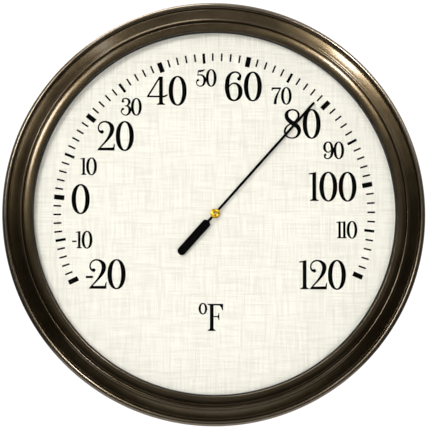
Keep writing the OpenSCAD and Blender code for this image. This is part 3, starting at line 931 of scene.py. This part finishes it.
def pointer_outline():
    """Outline of the pointer with its tip up: thin needle, round eye at the hub, and a paddle tail."""
    half, eye, corner = needle_w / 2, 3.0, 2.4
    meet = math.degrees(math.acos(half / eye))
    shoulder = -8.4
    end = -tail_len + paddle_w / 2
    right = [(needle_w / 5, needle_len), (half, needle_len - 1)]
    right += arc(0, 0, eye, meet, -meet, 14)
    right += [(half, shoulder)]
    right += arc(paddle_w / 2 - corner, shoulder - corner, corner, 90, 0, 5)
    tail = arc(0, end, paddle_w / 2, 0, -180, 20)
    left = [(-x, y) for x, y in reversed(right)]
    return right + tail + left


def make_pointer():
    eye = [(1.76 * math.cos(math.tau * i / 32), 1.76 * math.sin(math.tau * i / 32)) for i in range(32)]
    outlines = [pointer_outline(), eye]
    blade = cut_sheet("pointer_blade", outlines, back("pointer"), front("pointer"), edge=0.1)
    blade.data.transform(Matrix.Rotation(reading, 4, "Y"))
    smooth(blade)
    fit(blade, "needle_black", "pointer")


def make_hub():
    """Turned brass hub, riveted over the pointer, with three staking marks round the arbor."""
    seat, neck = back("pointer"), front("pointer")
    top = front("pointer_hub")
    low = back("pointer_hub")
    bore = 0.81
    section = [(bore, low), (2.6, low)] + arc(2.6, low + 0.2, 0.2, 270, 360, 3)
    section += [(2.8, seat), (1.75, seat), (1.75, neck), (hub_r - 0.2, neck)]
    section += arc(hub_r - 0.35, neck + 0.35, 0.35, -20, 60, 5)
    section += arc(0, top - 12, 12, 73, 85.6, 8)
    section += [(bore + 0.05, top - 0.03), (bore, top - 0.12), (bore, low)]
    hub = turned("pointer_hub_turned", section, steps=96)
    dimples = []
    above_top = (0, -(top + 0.3) * MM, 0)
    for i in range(3):
        deselect()
        bpy.ops.mesh.primitive_ico_sphere_add(subdivisions=3, radius=1.15 * MM, location=above_top)
        dimple = bpy.context.object
        fix_place()
        dimple.data.transform(on_circle(2.1, math.degrees(reading) + 30 + 120 * i))
        dimples.append(dimple)
    cut_away(hub, join("staking", dimples))
    smooth(hub)
    fit(hub, "brass", "pointer_hub")


def make_arbor():
    low, high = back("arbor"), front("arbor")
    r = reach("arbor")
    rod = turned("arbor_rod", [
        (0, low), (r - 0.25, low), (r, low + 0.4), (r, high - 0.2), (r - 0.2, high), (0, high)], steps=48)
    fit(rod, "zinc_steel", "arbor")


# ---------------------------------------------------------------- back of the case

def softened(name, node, width):
    """The node's own shape with its sharp edges rounded by a width in millimetres."""
    piece = copy_of(nodes[node], name, Matrix.Identity(4))
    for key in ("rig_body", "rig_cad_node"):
        del piece[key]
    piece.parent = None
    close_up(piece)
    bpy.ops.object.mode_set(mode="EDIT")
    bpy.ops.mesh.select_all(action="SELECT")
    bpy.ops.mesh.dissolve_limited(angle_limit=math.radians(0.5))
    bpy.ops.object.mode_set(mode="OBJECT")
    apply_modifier(piece, "BEVEL", width=width * MM, segments=2, limit_method="ANGLE",
                   angle_limit=math.radians(35), use_clamp_overlap=True)
    smooth(piece)
    apply_modifier(piece, "WEIGHTED_NORMAL", keep_sharp=True)
    return piece


def make_screws():
    """Pan-head screws with a cross recess that hold the rear cover to the bosses."""
    head = back("rear_cover_screws")
    section = [(0, head), (1.7, head)]
    section += arc(1.7, head + 1.1, 1.1, 270, 360, 6)
    section += [(2.8, cover_back), (1.45, cover_back)]
    pitch, depth = 1.1, 0.25
    level = cover_back + 1.2
    while level < cover_in + 7.4:
        section += [(1.45, level), (1.45 - depth, level + pitch * 0.45)]
        level += pitch
    section += [(1.45, cover_in + 8), (0.4, cover_in + 9.6), (0, cover_in + 9.6)]
    screw = turned("screw", section, steps=40)
    for arm in cross_cutter(3.2, head, 1.2):
        cut_away(screw, arm)
    smooth(screw)
    screws = repeated(screw, "cover_screws", boss_r, range(30, 390, 60))
    fit(screws, "zinc_steel", "rear_cover_screws")


def make_rivets():
    """Two set rivets that hold the hanger plate to the rear cover."""
    low, high = back("hanger_rivets"), front("hanger_rivets")
    plate_low = back("hanger_plate")
    section = [(0, low), (1.2, low)]
    section += arc(1.2, low + 1.0, 1.0, 270, 340, 5)
    section += [(2.8, plate_low), (1.5, plate_low), (1.5, cover_in), (2.5, cover_in)]
    section += arc(1.3, high - 0.6, 0.6, 20, 90, 4)
    section += [(0, high)]
    rivet = turned("rivet", section, steps=40)
    height = (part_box("hanger_rivets")[0].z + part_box("hanger_rivets")[1].z) / 2
    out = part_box("hanger_rivets")[1].x - 2.8 * MM
    pair = [copy_of(rivet, "rivet", Matrix.Translation((x, 0, height))) for x in (-out, out)]
    bpy.data.objects.remove(rivet)
    fit(join("hanger_rivets_set", pair), "zinc_steel", "hanger_rivets")


# ---------------------------------------------------------------- making it all

make_bezel()
make_glass()
make_gasket()
print_numbers()
make_pointer()
make_hub()
make_arbor()
make_screws()
make_rivets()
fit(softened("rear_cover_moulding", "rear_cover", 0.35), "cover_plastic", "rear_cover")
fit(softened("hanger_plate_pressed", "hanger_plate", 0.18), "zinc_steel", "hanger_plate")

CAD_FINISH = {
    "lens_spacer_ring": "black_plastic", "dial_card": "dial_card", "scale_ticks": "black_ink",
    "dial_plate": "dial_sheet", "movement_plate": "brass", "movement_screws": "zinc_steel",
    "front_bush": "brass", "bridge_pillars": "brass", "rear_bridge": "zinc_steel",
    "bridge_screws": "zinc_steel", "friction_washer": "zinc_steel", "adjuster_hub": "brass",
    "adjuster_clip": "zinc_steel", "adjuster_arm": "zinc_steel", "coil_anchor_pin": "brass",
    "bimetal_coil": "bimetal", "coil_collet": "brass",
}
for node, slot in CAD_FINISH.items():
    paint(nodes[node], slot)


# ---------------------------------------------------------------- studio

LIGHT_DISTANCE = 2.4


def soft_light(name, clock, off_axis, width, length, power, lit=None):
    """A softbox aimed at the dial, from a clockwise angle round it and an angle off its axis. Its
    length runs away from that axis. It may light one collection only, as if flagged off the rest."""
    clock, off_axis = math.radians(clock), math.radians(off_axis)
    around = Vector((math.sin(clock), 0, math.cos(clock)))
    ahead = Vector((0, -1, 0))
    towards = ahead * math.cos(off_axis) + around * math.sin(off_axis)
    along = around * math.cos(off_axis) - ahead * math.sin(off_axis)
    lamp = bpy.data.lights.new(name, "AREA")
    lamp.shape = "RECTANGLE"
    lamp.size, lamp.size_y = width, length
    lamp.energy = power
    light = bpy.data.objects.new(name, lamp)
    light.location = towards * LIGHT_DISTANCE
    light.rotation_mode = "QUATERNION"
    light.rotation_quaternion = Matrix((along.cross(towards), along, towards)).transposed().to_quaternion()
    light.light_linking.receiver_collection = lit
    bpy.context.collection.objects.link(light)


def studio_floor():
    deselect()
    bpy.ops.mesh.primitive_plane_add(size=3, location=(0, 0, -1.3))
    floor = bpy.context.object
    floor.name = floor.data.name = "studio_floor"
    material, tree, shader = new_finish("studio_floor", Roughness=0.9)
    shader.inputs["Base Color"].default_value = (0.9, 0.9, 0.89, 1)
    floor.data.materials.append(material)


def surroundings():
    """White backdrop for the camera; for the piece, a room lit softly from above and behind."""
    world = bpy.data.worlds.new("studio")
    bpy.context.scene.world = world
    world.use_nodes = True
    tree = world.node_tree
    towards = add(tree, "SeparateXYZ", {"Vector": add(tree, "TexCoord").outputs["Generated"]}).outputs
    overhead = ramp(tree, towards["Z"], 0.1, 0.95, 0.015, 0.42)
    walls = ramp(tree, towards["Z"], -0.6, 0.4, 0.05, 0.4)
    sides = maths(tree, "MULTIPLY", ramp(tree, towards["Y"], -0.45, 0.1), walls)
    around = tree.nodes["Background"]
    around.inputs["Color"].default_value = (1, 1, 1, 1)
    tree.links.new(maths(tree, "ADD", overhead, sides), around.inputs["Strength"])
    backdrop = add(tree, "Background", {"Color": (1, 1, 1, 1), "Strength": 1.05})
    seen = add(tree, "LightPath").outputs["Is Camera Ray"]
    mix = add(tree, "MixShader", {0: seen, 1: around.outputs[0], 2: backdrop.outputs[0]})
    tree.links.new(mix.outputs[0], tree.nodes["World Output"].inputs["Surface"])
    bpy.context.scene.view_settings.view_transform = "Standard"


def softboxes():
    """Lights for the whole piece, and others that are flagged off either its face or its rim."""
    rim = bpy.data.collections.new("rim_and_hub")
    face = bpy.data.collections.new("face_and_back")
    for piece in [o for o in bpy.context.scene.objects if o.type == "MESH"]:
        group = rim if piece.name in ("bezel_ring", "pointer_hub_turned") else face
        group.objects.link(piece)
    soft_light("front_softbox", 50, 5, 1.3, 1.3, 1.4, rim)
    soft_light("key_softbox", 306, 26, 0.45, 0.45, 13.3)
    soft_light("low_softbox", 205, 15, 0.7, 0.7, 6.4, face)
    soft_light("left_softbox", 262, 17, 0.6, 0.6, 2.1, face)
    soft_light("right_softbox", 112, 20, 0.6, 0.6, 5.3, face)
    soft_light("strip_right", 42, 38, 0.22, 0.9, 23, rim)
    soft_light("strip_left", 333, 34, 0.14, 1.2, 3, rim)
    soft_light("side_softbox", 60, 62, 0.8, 0.8, 4, rim)
    soft_light("top_softbox", 345, 74, 1.4, 0.8, 34, rim)
    soft_light("rear_softbox", 330, 138, 1.2, 1.2, 26)


def camera():
    """Long lens a little to the left of and below the dial's axis."""
    distance, azimuth, elevation = 2.0, math.radians(-3.8), math.radians(-3.2)
    field_width = 0.3482
    aim = Vector((-1.6, -lip_under, -2.25)) * MM
    level = Vector((math.sin(azimuth), -math.cos(azimuth), 0))
    towards = level * math.cos(elevation) + Vector((0, 0, math.sin(elevation)))
    lens = bpy.data.cameras.new("camera")
    lens.sensor_width = 36
    lens.lens = lens.sensor_width * distance / field_width
    lens.clip_start, lens.clip_end = 0.05, 50
    view = bpy.data.objects.new("camera", lens)
    view.location = aim + towards * distance
    view.rotation_mode = "QUATERNION"
    view.rotation_quaternion = towards.to_track_quat("Z", "Y")
    bpy.context.collection.objects.link(view)
    bpy.context.scene.camera = view


studio_floor()
surroundings()
softboxes()
camera()
